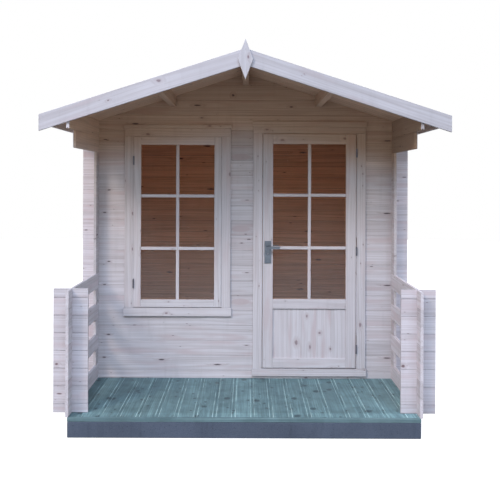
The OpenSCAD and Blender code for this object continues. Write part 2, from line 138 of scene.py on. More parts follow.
def startGroup(name, inputs, outputs):
    tree = bpy.data.node_groups.new(name, "ShaderNodeTree")
    for way, sockets in (("INPUT", inputs), ("OUTPUT", outputs)):
        for kind, titles in sockets.items():
            for title in titles.split():
                tree.interface.new_socket(name=title, in_out=way, socket_type="NodeSocket" + kind)
    return tree, tree.nodes.new("NodeGroupInput").outputs, tree.nodes.new("NodeGroupOutput").inputs


def placeGroup(tree, group, inputs):
    node = put(tree, "ShaderNodeGroup", node_tree=group)
    for name, value in inputs.items():
        feed(tree, node.inputs[name], value)
    return node.outputs


def startMaterial(name, **constants):
    material = bpy.data.materials.new(name)
    material.use_nodes = True
    shader = material.node_tree.nodes["Principled BSDF"]
    for socket, value in constants.items():
        feed(material.node_tree, shader.inputs[socket], value)
    return material, material.node_tree, shader.inputs


def bumpInto(tree, shader, height, strength, distance):
    node = put(tree, "ShaderNodeBump", {"Strength": strength, "Distance": distance, "Height": height})
    tree.links.new(node.outputs["Normal"], shader["Normal"])


# shader groups

farOff = 9.0  # further than any mark reaches
grainScale = {"wander": (0.75, 2.5, 2.5), "ragged": (60.0, 110.0, 110.0), "streaks": (0.85, 38.0, 38.0),
              "lines": (1.6, 125.0, 125.0), "fine": (7.0, 330.0, 330.0), "blush": (2.6, 19.0, 19.0),
              "patchy": (5.0, 40.0, 40.0)}  # to the metre: along, across and through a board
grainDrift = (0.0, 0.05, 0.05)
ringWidth = 0.0135


def makeTimberGroup():
    # grain: metres, x along the board, y across its face, z through it, with the pith near 0, 0
    # cut: x is 1 on a worn edge and -1 in a joint, but positive on the lower side of a wall joint as painted
    # light; y is 1 on an end; z is the board's own number, shifted as painted light and shade where a stack
    # or course is given a shade
    tree, given, out = startGroup("timberGrain", {
        "Vector": "grain cut", "Color": "pale late rosy knot edge",
        "Float": "streaks rings knotSize knotScale knotShape spread worn placed lens",
    }, {"Color": "colour", "Float": "roughness height"})
    cut = split(tree, given["cut"])
    wander = put(tree, "ShaderNodeTexNoise", {"Vector": stretch(tree, given["grain"], grainScale["wander"]),
                                              "Scale": 1.0, "Detail": 1.0}).outputs["Color"]
    wander = stretch(tree, vectorCalc(tree, "SUBTRACT", wander, (0.5, 0.5, 0.5)), grainDrift)
    place = vectorCalc(tree, "ADD", given["grain"], wander)
    along = split(tree, place)
    root = calc(tree, "SQRT", given["knotShape"])

    def drawn(name, detail=2.0, roughness=0.5):
        return noise(tree, stretch(tree, place, grainScale[name]), 1.0, detail, roughness)

    ragged = drawn("ragged")

    # knots sit in cells, a few to the metre; each has its own size
    def knots(often, shift, least, share):
        perLength = times(tree, calc(tree, "DIVIDE", given["knotScale"], root), often)
        perWidth = times(tree, given["knotScale"], root, often)
        flat = put(tree, "ShaderNodeCombineXYZ", {
            "X": timesPlus(tree, along["X"], perLength, shift),
            "Y": timesPlus(tree, along["Y"], perWidth, shift)}).outputs[0]
        cell = put(tree, "ShaderNodeTexVoronoi", {"Vector": flat, "Scale": 1.0}, voronoi_dimensions="2D")
        size = ease(tree, split(tree, cell.outputs["Color"])["X"], least, 1.0, 0.0, share)
        size = calc(tree, "MAXIMUM", times(tree, size, given["knotSize"], perWidth), 0.0004)
        away = calc(tree, "DIVIDE", cell.outputs["Distance"], size)
        away = calc(tree, "ADD", away, timesPlus(tree, ragged, 0.9, -0.45))
        off = split(tree, vectorCalc(tree, "SUBTRACT", flat, cell.outputs["Position"]))
        beside = calc(tree, "DIVIDE", calc(tree, "ABSOLUTE", off["Y"]), size)
        ahead = calc(tree, "DIVIDE", calc(tree, "ABSOLUTE", off["X"]), size)
        tail = times(tree, timesPlus(tree, beside, -0.55, 1.0, clamp=True),
                     timesPlus(tree, ahead, -0.24, 1.0, clamp=True))
        return away, tail

    away, tail = knots(1.0, 3.1, 0.2, 1.0)
    placed = calc(tree, "ADD", given["placed"], timesPlus(tree, ragged, 0.7, -0.35))
    away = calc(tree, "MINIMUM", away, placed)
    tail = calc(tree, "MAXIMUM", tail, timesPlus(tree, given["placed"], -0.45, 1.2, clamp=True))
    knot = timesPlus(tree, away, -2.2, 2.2, clamp=True)
    halo = timesPlus(tree, away, -0.42, 1.25, clamp=True)
    pinAway, pinTail = knots(1.7, 17.7, 0.45, 0.5)
    knot = calc(tree, "MAXIMUM", knot, timesPlus(tree, pinAway, -1.6, 1.6, clamp=True))
    tail = calc(tree, "MAXIMUM", tail, pinTail)

    # growth rings round the pith, pushed aside by the knots
    across = put(tree, "ShaderNodeCombineXYZ", {"Y": along["Y"], "Z": along["Z"]}).outputs[0]
    lens = ease(tree, given["lens"], 1.25, 0.75)  # flat-sawn places, where the rings run out in a lens
    bulge = timesPlus(tree, lens, times(tree, given["lens"], 0.03), vectorCalc(tree, "LENGTH", across))
    radius = timesPlus(tree, halo, 0.016, bulge)
    rings = ease(tree, calc(tree, "SINE", times(tree, radius, 2 * math.pi / ringWidth)), -0.1, 1.0)
    streaks = ease(tree, drawn("streaks", 3.0, 0.62), 0.36, 0.72)
    lines = ease(tree, drawn("lines"), 0.44, 0.7)
    fine = drawn("fine")
    blush = ease(tree, drawn("blush"), 0.5, 0.72, 0.0, 0.7)
    blush = calc(tree, "MAXIMUM", blush, times(tree, lens, 0.8))
    patchy = ease(tree, drawn("patchy"), 0.36, 0.6, 0.1, 1.0)

    dark = times(tree, timesPlus(tree, lines, 0.5, streaks), given["streaks"])
    dark = timesPlus(tree, rings, given["rings"], dark)
    dark = timesPlus(tree, tail, 0.55, dark)
    dark = timesPlus(tree, calc(tree, "SUBTRACT", fine, 0.5), 0.35, dark, clamp=True)
    colour = blendColour(tree, dark, given["pale"], given["late"])
    own = times(tree, calc(tree, "FRACT", times(tree, cut["Z"], 7.0)), 0.16)
    rosy = calc(tree, "MAXIMUM", times(tree, halo, 0.5), calc(tree, "ADD", own, blush))
    colour = blendColour(tree, rosy, colour, given["rosy"])
    colour = blendColour(tree, knot, colour, given["knot"])
    colour = blendColour(tree, times(tree, cut["Y"], 0.22), colour, given["late"])
    # paler on worn edges, and on the lower side of wall joints as painted light
    wearAndJointLight = times(tree, calc(tree, "MAXIMUM", cut["X"], 0.0), given["worn"], patchy)
    colour = blendColour(tree, wearAndJointLight, colour, given["edge"])
    # tone: the board's own number, which for some stacks, courses and deck boards carries painted light and
    # shade
    tone = timesPlus(tree, calc(tree, "SUBTRACT", cut["Z"], 0.5), given["spread"], 1.0)
    # darker in joints; the upper side of a wall joint darker still, as painted shade
    groove = calc(tree, "MAXIMUM", times(tree, cut["X"], -1.0), 0.0)
    feed(tree, out["colour"], scaled(tree, colour, timesPlus(tree, groove, -0.22, tone)))
    rough = timesPlus(tree, knot, -0.16, 0.72)
    feed(tree, out["roughness"], timesPlus(tree, dark, -0.12, rough))
    height = timesPlus(tree, rings, 0.35, times(tree, fine, 0.5))
    feed(tree, out["height"], timesPlus(tree, knot, -0.4, height))
    return tree


# painted shade: the porch roof's shade is painted into the colour, and begins on a line that follows the roof
# down to the eaves
shadeAndRoom = {"slope": 0.1675, "lean": 0.0375, "from": 1.775, "to": 2.115, "porchHalf": 1.126,
           "porchMiddle": -1.156, "porchReach": 0.51, "roomHalf": 1.1145, "roomFront": -0.6765,
           "roomBack": 1.5565, "roomFloor": 0.12, "wallHalf": 1.127}


def makeShadeAndRoomGroup():
    # painted shade under the porch roof, darker and warmer there; a paler colour beyond reach, which on the
    # logs is painted light; and as sawn inside the room
    tree, given, out = startGroup("underRoof", {
        "Color": "open outer sheltered room", "Float": "reach inside"}, {"Color": "colour"})
    spot = split(tree, spotOf(tree))
    side = calc(tree, "ABSOLUTE", spot["X"])
    under = timesPlus(tree, side, shadeAndRoom["slope"], spot["Z"])
    under = timesPlus(tree, spot["X"], shadeAndRoom["lean"], under)
    # painted shade: darker and warmer under the porch roof, ramped in below the roof line
    porch = times(tree, ease(tree, under, shadeAndRoom["from"], shadeAndRoom["to"]),
                  calc(tree, "LESS_THAN", side, shadeAndRoom["porchHalf"]),
                  calc(tree, "COMPARE", spot["Y"], shadeAndRoom["porchMiddle"], shadeAndRoom["porchReach"]))
    room = times(tree, calc(tree, "LESS_THAN", side, shadeAndRoom["roomHalf"]),
                 calc(tree, "LESS_THAN", spot["Y"], shadeAndRoom["roomBack"]),
                 calc(tree, "GREATER_THAN", spot["Y"], given["inside"]),
                 calc(tree, "GREATER_THAN", spot["Z"], shadeAndRoom["roomFloor"]))
    # beyond reach: on the logs a paler colour as painted light, where more light falls; on the fascias their
    # outer face
    outer = calc(tree, "GREATER_THAN", side, given["reach"])
    colour = blendColour(tree, outer, given["open"], given["outer"])
    colour = blendColour(tree, porch, colour, given["sheltered"])
    feed(tree, out["colour"], blendColour(tree, room, colour, given["room"]))
    return tree


def makeBlotchGroup():
    # slow uneven patches and thin runs down the face
    tree, given, out = startGroup("weatherMarks", {"Color": "colour", "Float": "scale amount runs"},
                                  {"Color": "colour"})
    spot = spotOf(tree)
    patch = ease(tree, noise(tree, spot, given["scale"], 4.0, 0.6), 0.3, 0.72)
    runs = noise(tree, stretch(tree, spot, (1.0, 1.0, 0.12)), 22.0, 3.0, 0.6)
    runs = ease(tree, runs, 0.5, 0.75)
    mask = timesPlus(tree, runs, given["runs"], times(tree, patch, given["amount"]))
    feed(tree, out["colour"], scaled(tree, given["colour"], calc(tree, "SUBTRACT", 1.0, mask)))
    return tree


timberGroup = makeTimberGroup()
shadeAndRoomGroup = makeShadeAndRoomGroup()
blotchGroup = makeBlotchGroup()
print("shader groups:", ", ".join(group.name for group in bpy.data.node_groups))


def weathered(tree, colour, scale, amount, runs=0.0):
    marks = {"colour": colour, "scale": scale, "amount": amount, "runs": runs}
    return placeGroup(tree, blotchGroup, marks)["colour"]


# finishes; the colours late, rosy, knot and edge are shares of the board's own

# open is the finish's own colour; outer is painted light, paler beyond the porch where more light falls; the
# colour under the porch roof is painted shade, darker and warmer; room is the wood as sawn
limedPine = {"open": (0.62, 0.595, 0.645), "outer": (0.74, 0.71, 0.785), "sheltered": (0.55, 0.385, 0.28),
             "room": (0.86, 0.53, 0.33), "late": (0.74, 0.71, 0.70), "rosy": (0.87, 0.79, 0.78),
             "knot": (0.17, 0.14, 0.15), "edge": (1.0, 1.0, 1.0), "streaks": 0.62, "rings": 0.36,
             "knotSize": 0.0085, "knotScale": 4.0, "knotShape": 4.2, "spread": 0.12, "worn": 0.4,
             "bump": 0.25, "patches": 0.08, "patchScale": 1.6, "bleach": None, "placed": (), "lenses": (),
             "reach": shadeAndRoom["wallHalf"], "inside": shadeAndRoom["roomFront"]}

# knots that stand out, each by its x, z, half width and half height
frontKnots = (
    (-1.034, 1.555, 0.015, 0.006), (-1.066, 1.384, 0.015, 0.005), (-1.034, 1.013, 0.015, 0.006),
    (-1.066, 0.837, 0.015, 0.005), (-1.034, 0.459, 0.017, 0.006), (-1.066, 0.286, 0.017, 0.005),
    (1.076, 1.935, 0.034, 0.006), (1.076, 1.385, 0.034, 0.006), (1.078, 0.838, 0.034, 0.006),
    (1.08, 0.287, 0.034, 0.006), (-0.632, 0.269, 0.028, 0.007), (-0.206, 0.233, 0.036, 0.006),
    (-0.837, 2.058, 0.03, 0.007), (-0.367, 2.2, 0.027, 0.007), (-0.095, 2.277, 0.012, 0.011),
    (0.347, 2.19, 0.016, 0.006), (-1.064, 1.938, 0.018, 0.004), (0.014, 1.482, 0.018, 0.003),
    (0.014, 0.931, 0.018, 0.003), (0.014, 0.38, 0.018, 0.003))
panelKnots = ((0.47, 0.604, 0.008, 0.013), (0.567, 0.478, 0.011, 0.011), (0.39, 0.404, 0.014, 0.022),
              (0.494, 0.371, 0.008, 0.02), (0.648, 0.357, 0.008, 0.012))
postKnots = ((1.022, 0.437, 0.015, 0.011), (-1.21, 0.442, 0.013, 0.009))
bargeKnots = ((-0.546, 2.254, 0.018, 0.011), (0.0175, 2.402, 0.007, 0.013))
frontLenses = tuple((-0.035, z, 0.075, 0.024) for z in (1.81, 1.263, 0.71))

frontPine = dict(limedPine, rosy=(0.83, 0.73, 0.72), knotSize=0.0045, lenses=frontLenses, placed=frontKnots)
railPine = dict(limedPine, open=(0.665, 0.64, 0.705), outer=(0.69, 0.66, 0.73))
postPine = dict(railPine, outer=railPine["open"], knot=(0.3, 0.22, 0.22), knotSize=0.005, placed=postKnots)
backPine = dict(limedPine, late=(0.7, 0.67, 0.66), streaks=0.8, rings=0.6, knotSize=0.011)
planedTone = (0.63, 0.605, 0.655)
planedPine = dict(limedPine, open=planedTone, outer=planedTone, knot=(0.46, 0.38, 0.39), streaks=0.48,
                  rings=0.34, knotSize=0.011, knotScale=5.2, knotShape=1.7, spread=0.08, bump=0.18)
leafMiddle = sum(corner.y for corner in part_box("door_leaf")) / 2
sashPine = dict(planedPine, inside=leafMiddle)  # the inner half of a leaf is left as sawn
panelPine = dict(sashPine, rosy=(0.81, 0.7, 0.69), streaks=0.5, rings=0.16, knotSize=0.0, placed=panelKnots)
bargeTone = (0.525, 0.515, 0.575)
bargePine = dict(planedPine, open=bargeTone, outer=bargeTone, knotSize=0.006, placed=bargeKnots)
fasciaReach = min(v.co.x for v in cadNodes["eaves_fascias"].data.vertices if v.co.x > 0) + 0.003
fasciaPine = dict(bargePine, open=(0.86, 0.72, 0.62), reach=fasciaReach)  # its inner face is left as sawn, and made paler and warmer as painted light, for light bounced into the eaves' shade
roofTone = (0.72, 0.51, 0.375)
roofPine = dict(limedPine, open=roofTone, outer=roofTone, sheltered=roofTone, knotSize=0.009)
deckTone = (0.197, 0.319, 0.345)
# painted light: the deck is paler towards its front
deckFrontLight = {"start": -0.9, "from": -1.545, "to": -1.575, "slow": 0.22, "share": 0.5}
treatedPine = dict(limedPine, open=deckTone, outer=deckTone, sheltered=deckTone, room=(0.82, 0.57, 0.38),
                   late=(0.60, 0.64, 0.67), rosy=(0.74, 0.74, 0.75), knot=(0.2, 0.25, 0.28),
                   edge=(2.4, 2.05, 1.95), streaks=0.95, rings=0.6, knotSize=0.028, knotScale=5.8,
                   knotShape=1.3, spread=0.24, worn=0.85, bump=0.35, patches=0.25, patchScale=7.0,
                   bleach=deckFrontLight)
edgePine = dict(treatedPine, open=(0.195, 0.3, 0.33), knotSize=0.003, spread=0.0, worn=0.1, bleach=None)


def paintedFrontLight(tree, spot, colour, look):
    # painted light: paler slowly towards the front, where the porch shades the deck less, then a paler band
    # on the board ends in front of the posts
    streak = noise(tree, stretch(tree, spot, (70.0, 4.0, 4.0)), 1.0, 3.0, 0.6)
    y = split(tree, spot)["Y"]
    share = calc(tree, "MAXIMUM", ease(tree, y, look["from"], look["to"], 0.0, look["share"]),
                 ease(tree, y, look["start"], look["from"], 0.0, look["slow"]))
    return scaled(tree, colour, timesPlus(tree, share, ease(tree, streak, 0.32, 0.62, 0.25, 1.0), 1.0))


def timber(name, look):
    material, tree, shader = startMaterial(name, **{"Specular IOR Level": 0.3})
    spot = spotOf(tree)

    def chosen(*names):
        return {name: look[name] for name in names}

    def carried(name):
        return put(tree, "ShaderNodeAttribute", attribute_name=name).outputs["Vector"]

    def nearest(marks):
        near = farOff
        for x, z, halfWide, halfHigh in marks:
            off = vectorCalc(tree, "SUBTRACT", spot, (x, 0, z))
            off = stretch(tree, off, (1 / halfWide, 0, 1 / halfHigh))
            near = calc(tree, "MINIMUM", vectorCalc(tree, "LENGTH", off), near)
        return near

    cover = chosen("open", "outer", "sheltered", "room", "reach", "inside")
    base = placeGroup(tree, shadeAndRoomGroup, cover)["colour"]
    shares = chosen("late", "rosy", "knot", "edge")
    tints = {name: blendColour(tree, 1.0, base, share, "MULTIPLY") for name, share in shares.items()}
    amounts = chosen("streaks", "rings", "knotSize", "knotScale", "knotShape", "spread", "worn")
    wood = placeGroup(tree, timberGroup, {
        "grain": carried("grain"), "cut": carried("cut"), "pale": base, **tints, **amounts,
        "placed": nearest(look["placed"]), "lens": nearest(look["lenses"])})
    worn = weathered(tree, wood["colour"], look["patchScale"], look["patches"], 0.05)
    # painted light towards the deck's front
    if look["bleach"]:
        worn = paintedFrontLight(tree, spot, worn, look["bleach"])
    feed(tree, shader["Base Color"], worn)
    feed(tree, shader["Roughness"], wood["roughness"])
    bumpInto(tree, shader, wood["height"], look["bump"], 0.002)
    return material


logWood = timber("limedLogPine", limedPine)
frontWood = timber("frontLogPine", frontPine)
railWood = timber("railLogPine", railPine)
postWood = timber("railPostPine", postPine)
backWood = timber("backLogPine", backPine)
trimWood = timber("planedTrimPine", planedPine)
sashWood = timber("sashPine", sashPine)
panelWood = timber("doorPanelPine", panelPine)
bargeWood = timber("bargeboardPine", bargePine)
fasciaWood = timber("fasciaPine", fasciaPine)
roofWood = timber("roofBoardPine", roofPine)
deckWood = timber("treatedDeckPine", treatedPine)
edgeWood = timber("treatedEdgePine", edgePine)

plinthStone = {"colour": (0.078, 0.099, 0.148), "fleckColour": (0.17, 0.19, 0.235),
               "pore": (0.05, 0.062, 0.09), "grit": 170.0, "pores": 60.0, "fleck": 0.35, "bump": 0.5}


def slateConcrete():
    material, tree, shader = startMaterial("slateConcrete", **{"Specular IOR Level": 0.35})
    spot = spotOf(tree)
    grit = noise(tree, spot, plinthStone["grit"], 4.0, 0.7)
    cells = put(tree, "ShaderNodeTexVoronoi", {"Vector": spot, "Scale": plinthStone["pores"]}).outputs
    pores = ease(tree, cells["Distance"], 0.08, 0.2)
    fleck = times(tree, ease(tree, grit, 0.38, 0.66), plinthStone["fleck"])
    colour = blendColour(tree, fleck, plinthStone["colour"], plinthStone["fleckColour"])
    colour = blendColour(tree, calc(tree, "SUBTRACT", 1.0, pores), colour, plinthStone["pore"])
    feed(tree, shader["Base Color"], weathered(tree, colour, scale=2.6, amount=0.22, runs=0.14))
    feed(tree, shader["Roughness"], timesPlus(tree, grit, 0.2, 0.72))
    bumpInto(tree, shader, timesPlus(tree, pores, 0.8, grit), plinthStone["bump"], 0.003)
    return material


feltLook = {"colour": (0.052, 0.058, 0.064), "granule": (0.115, 0.12, 0.125), "granules": 420.0, "bump": 0.6}


def mineralFelt():
    material, tree, shader = startMaterial("mineralFelt", **{"Specular IOR Level": 0.3})
    spot = spotOf(tree)
    granule = put(tree, "ShaderNodeTexVoronoi", {"Vector": spot, "Scale": feltLook["granules"]}).outputs
    tint = split(tree, granule["Color"])["X"]
    colour = blendColour(tree, ease(tree, tint, 0.45, 1.0), feltLook["colour"], feltLook["granule"])
    ripple = noise(tree, stretch(tree, spot, (1.0, 0.5, 1.0)), 5.0, 3.0)
    feed(tree, shader["Base Color"], weathered(tree, colour, scale=1.3, amount=0.3))
    feed(tree, shader["Roughness"], timesPlus(tree, tint, 0.15, 0.78))
    height = timesPlus(tree, ripple, 2.0, times(tree, granule["Distance"], 0.6))
    bumpInto(tree, shader, height, feltLook["bump"], 0.002)
    return material


steelLook = {"colour": (0.19, 0.22, 0.27), "dark": (0.09, 0.105, 0.135), "metal": 0.9, "rough": 0.36}
hingeLook = {"colour": (0.17, 0.17, 0.205), "dark": (0.1, 0.1, 0.125), "metal": 0.5, "rough": 0.5}


def brushedMetal(name, look):
    material, tree, shader = startMaterial(name)
    brush = noise(tree, stretch(tree, spotOf(tree), (900.0, 900.0, 30.0)), 1.0, 2.0)
    colour = weathered(tree, look["colour"], scale=40.0, amount=0.25)
    colour = blendColour(tree, times(tree, brush, 0.5), colour, look["dark"])
    feed(tree, shader["Base Color"], colour)
    feed(tree, shader["Metallic"], timesPlus(tree, brush, -0.2, look["metal"]))
    feed(tree, shader["Roughness"], timesPlus(tree, brush, 0.18, look["rough"]))
    bumpInto(tree, shader, brush, 0.1, 0.0005)
    return material


# the pale veil over the panes stands in for reflection: painted reflection, stronger at a glance and towards
# the bottom of the panes; smear is smudges on the glass
paneLook = {"tint": (0.84, 0.86, 0.9), "clear": 0.004, "glance": 0.3, "dust": 0.08, "veilTop": 1.53,
            "veilLow": 0.7, "smear": 0.012}


def clearGlass():
    material, tree, shader = startMaterial("clearGlass", Metallic=0.0, IOR=1.5,
                                           **{"Base Color": paneLook["tint"], "Transmission Weight": 0.5})
    spot = spotOf(tree)
    smear = ease(tree, noise(tree, stretch(tree, spot, (1.0, 1.0, 0.5)), 6.0, 4.0), 0.45, 0.8)
    glance = put(tree, "ShaderNodeFresnel", {"IOR": 1.5}).outputs[0]
    alpha = timesPlus(tree, glance, paneLook["glance"], paneLook["clear"])
    # painted reflection: a paler veil, growing towards the bottom of the panes
    low = put(tree, "ShaderNodeMapRange", {"Value": split(tree, spot)["Z"], "From Min": paneLook["veilTop"],
                                           "From Max": paneLook["veilLow"], "To Max": paneLook["dust"]})
    alpha = calc(tree, "ADD", alpha, low.outputs[0])
    feed(tree, shader["Alpha"], timesPlus(tree, smear, paneLook["smear"], alpha, clamp=True))
    feed(tree, shader["Roughness"], timesPlus(tree, smear, 0.05, 0.02))
    return material


stone = slateConcrete()
felt = mineralFelt()
steel = brushedMetal("satinSteel", steelLook)
hingeIron = brushedMetal("hingeIron", hingeLook)
glass = clearGlass()
print("finishes:", ", ".join(material.name for material in bpy.data.materials if not material.users))


# building boards: each solid is eased, and carries its own grain

solidLook = {"weld": 1e-6, "flat": 0.01, "sharp": 0.5, "end": 0.75, "jointFrom": 0.25, "jointTo": 0.96}
grainStart = {"along": 60, "across": 0.045, "pithNear": 0.012, "pithFar": 0.07}  # a board's place in its tree


def newStack():
    return {"verts": [], "faces": [], "grain": [], "cut": []}


def axisOf(points):
    middle = points - points.mean(0)
    first = np.linalg.svd(middle, full_matrices=False)[2][0]
    strongest = int(np.argmax(np.abs(first)))
    if abs(first[strongest]) > 0.985:  # near enough to an axis
        first = np.eye(3)[strongest]
    return Vector(first)


def stackSolid(stack, bm, rng, along=None, easing=0.0, segments=2, joints=None, pick=None, worn=None,
               shade=0.0):
    bmesh.ops.remove_doubles(bm, verts=bm.verts, dist=solidLook["weld"])
    bmesh.ops.dissolve_limit(bm, angle_limit=solidLook["flat"], verts=bm.verts, edges=bm.edges)
    bm.normal_update()
    points = np.array([v.co for v in bm.verts])
    along = (along or axisOf(points)).normalized()
    upright = upZ if abs(along.z) < 0.9 else alongX
    second = (upright - along * upright.dot(along)).normalized()
    third = along.cross(second)
    if np.ptp(points @ np.array(third)) > np.ptp(points @ np.array(second)):
        second, third = third, second
    eased = set()
    if easing:
        sharp = [e for e in bm.edges if len(e.link_faces) == 2 and e.calc_face_angle(0.0) > solidLook["sharp"]
                 and (pick is None or pick(e))]
        made = bmesh.ops.bevel(bm, geom=sharp, offset=easing, segments=segments, profile=0.5, affect="EDGES",
                               clamp_overlap=True)
        bm.normal_update()
        eased = set(made["faces"])
    middle = Vector((points.max(0) + points.min(0)) / 2)
    aside = grainStart["across"]
    start = Vector((rng.uniform(0, grainStart["along"]), rng.uniform(-aside, aside),
                    rng.choice((-1, 1)) * rng.uniform(grainStart["pithNear"], grainStart["pithFar"])))
    # a given shade shifts the board's tone, as painted light and shade
    number = rng.random() + shade
    bm.verts.index_update()
    base = len(stack["verts"])
    for vert in bm.verts:
        away = vert.co - middle
        stack["verts"].append(tuple(vert.co))
        stack["grain"].append((away.dot(along) + start.x, away.dot(second) + start.y,
                               away.dot(third) + start.z))
    for face in bm.faces:
        stack["faces"].append([base + v.index for v in face.verts])
        end = 1.0 if abs(face.normal.dot(along)) > solidLook["end"] else 0.0
        edge = 1.0 if face in eased or (worn and worn(face)) else 0.0
        # on joints the lower side is painted paler and the upper side darker, as painted light and shade
        if joints and not end and solidLook["jointFrom"] < abs(face.normal.dot(third)) < solidLook["jointTo"]:
            edge = joints[0] if face.normal.z > 0 else joints[1]
        stack["cut"].append((edge, end, number))
    bm.free()


def shadeJoints(stack, share):
    # eased edges that are joints gather shade, and aren't worn
    stack["cut"] = [(share * edge, end, number) for edge, end, number in stack["cut"]]


def finishPiece(name, stack, material, body, replaced=(), smooth=False):
    mesh = bpy.data.meshes.new(name)
    mesh.from_pydata(stack["verts"], [], stack["faces"])
    grain = mesh.attributes.new("grain", "FLOAT_VECTOR", "POINT")
    grain.data.foreach_set("vector", np.array(stack["grain"], np.float32).ravel())
    cut = mesh.attributes.new("cut", "FLOAT_VECTOR", "FACE")
    cut.data.foreach_set("vector", np.array(stack["cut"], np.float32).ravel())
    mesh.update()
    if smooth:
        mesh.shade_smooth()
        mesh.set_sharp_from_angle(angle=math.radians(40))
    mesh.materials.append(material)
    piece = bpy.data.objects.new(name, mesh)
    scene.collection.objects.link(piece)
    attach(piece, body)
    if replaced:
        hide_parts(*replaced)


def solidsOf(node):
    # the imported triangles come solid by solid: one ends where each edge has met its twin
    mesh = cadNodes[node].data
    mesh.calc_loop_triangles()
    numbers, spots, ids = {}, [], []
    for vert in mesh.vertices:
        key = tuple(round(c * 1e5) for c in vert.co)
        if key not in numbers:
            numbers[key] = len(spots)
            spots.append(vert.co.copy())
        ids.append(numbers[key])
    solids, triangles, unmet = [], [], Counter()
    for triangle in mesh.loop_triangles:
        a, b, c = (ids[i] for i in triangle.vertices)
        triangles.append((a, b, c))
        for p, q in ((a, b), (b, c), (c, a)):
            if unmet[(q, p)] > 1:
                unmet[(q, p)] -= 1
            elif unmet[(q, p)] == 1:
                del unmet[(q, p)]
            else:
                unmet[(p, q)] += 1
                del unmet[(q, p)]
        if not unmet:
            solids.append(triangles)
            triangles = []
    made = []
    for triangles in solids:
        bm = bmesh.new()
        used = {i: bm.verts.new(spots[i]) for i in sorted({i for t in triangles for i in t})}
        for t in triangles:
            bm.faces.new([used[i] for i in t])
        made.append(bm)
    return made


def titleOf(node):
    first, *others = node.split("_")
    return first + "".join(word.title() for word in others)


def easedCopy(name, node, material, easing=0.0, segments=2, along=None, joints=None, smooth=False,
              seed=1, pick=None, shade=0.0, band=None):
    stack, rng = newStack(), random.Random(f"{node} {seed}")
    for bm in solidsOf(node):
        height = sum(v.co.z for v in bm.verts) / len(bm.verts)
        # painted light: logs whose middle lies in the band are made paler
        extra = band["shade"] if band and band["from"] < height < band["to"] else 0.0
        stackSolid(stack, bm, rng, along, easing, segments, joints, pick, shade=shade + extra)
    finishPiece(name, stack, material, bodyOf[node], (node,), smooth)


def prism(outline, axis, low, high):
    # a polygon in the two other axes, drawn out along one axis
    others = [i for i in range(3) if i != axis]
    bm = bmesh.new()
    rings = []
    for level in (low, high):
        ring = []
        for a, b in outline:
            spot = [0.0, 0.0, 0.0]
            spot[axis], spot[others[0]], spot[others[1]] = level, a, b
            ring.append(bm.verts.new(spot))
        rings.append(ring)
    bm.faces.new(rings[0])
    bm.faces.new(rings[1])
    count = len(outline)
    for i in range(count):
        bm.faces.new((rings[0][i], rings[0][(i + 1) % count], rings[1][(i + 1) % count], rings[1][i]))
    bmesh.ops.recalc_face_normals(bm, faces=bm.faces)
    return bm


def block(low, high):
    outline = ((low[0], low[1]), (high[0], low[1]), (high[0], high[1]), (low[0], high[1]))
    return prism(outline, 2, low[2], high[2])


# walls

logSeed = 4
wallJoint = (0.9, -0.4)  # painted light and shade: the lower side of a joint is painted paler, as it catches the light, and the upper side darker
# deep joints are dark on both sides; their upper side is darker still, as painted shade
deepJoint = (-0.9, -1.6)
deepJointed = ("left_rail_post", "right_rail_post", "back_wall_logs")
paintedLogLightAndShade = {"right_eaves_logs": -2.1, "left_eaves_logs": 1.6, "front_middle_logs": -0.8,
            "front_left_logs": 0.4, "left_rail_logs": 0.6, "right_rail_logs": 0.9}  # painted light and shade: each stack's tone against the rest, lighter or darker as light falls on it
paintedLightCourses = {"from": 1.45, "to": 1.76, "shade": 0.9}  # painted light: front courses just below the roof's shade are made paler
wallNodes = {"x": ("front_left_logs", "front_sill_logs", "front_middle_logs", "front_right_logs",
                   "front_gable_logs", "back_wall_logs", "back_gable_logs"),
             "y": ("left_wall_logs", "right_wall_logs", "left_rail_logs", "right_rail_logs",
                   "left_eaves_logs", "right_eaves_logs", "ridge_purlin", "side_purlins"),
             "": ("left_rail_post", "right_rail_post")}
runs = {"x": alongX, "y": alongY, "": None}


def logFinish(node):
    if node.startswith("front"):
        return frontWood
    if "post" in node:
        return postWood
    if "rail" in node:
        return railWood
    return backWood if node == "back_wall_logs" else logWood


for run, names in wallNodes.items():
    for node in names:
        joints = deepJoint if node in deepJointed else None if "purlin" in node else wallJoint
        band = paintedLightCourses if node.startswith("front") else None
        easedCopy(titleOf(node), node, logFinish(node), along=runs[run], joints=joints,
                  seed=logSeed, shade=paintedLogLightAndShade.get(node, 0.0), band=band)
print("walls:", sum(len(names) for names in wallNodes.values()), "stacks of logs")


# joinery and roof trim, in planed boards with eased edges

trimSeed = 2
trimPieces = {"window_surround": (0.0025, trimWood), "window_lining": (0.0015, trimWood),
              "window_sash": (0.002, sashWood), "door_surround": (0.0025, trimWood),
              "door_lining": (0.0015, trimWood), "door_leaf": (0.002, sashWood),
              "eaves_fascias": (0.002, fasciaWood), "front_bargeboards": (0.003, bargeWood),
              "back_bargeboards": (0.003, bargeWood), "front_finial": (0.003, bargeWood),
              "back_finial": (0.003, bargeWood)}  # easing and finish of each
grooveHalf = 0.015  # the grooves for glass and panel lie this near the middle of a leaf, and stay sharp
frameSeat = 0.0077  # length of glass or panel that is hidden in its frame


def clearOfGroove(node):
    low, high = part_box(node)
    middle = (low.y + high.y) / 2
    return lambda e: all(abs(v.co.y - middle) > grooveHalf for v in e.verts)


def sightOf(node):
    low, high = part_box(node)
    return low + Vector((frameSeat, 0, frameSeat)), high - Vector((frameSeat, 0, frameSeat))


for node, (easing, wood) in trimPieces.items():
    pick = clearOfGroove(node) if wood is sashWood else None
    easedCopy(titleOf(node), node, wood, easing, along=upZ if "finial" in node else None,
              seed=trimSeed, pick=pick)

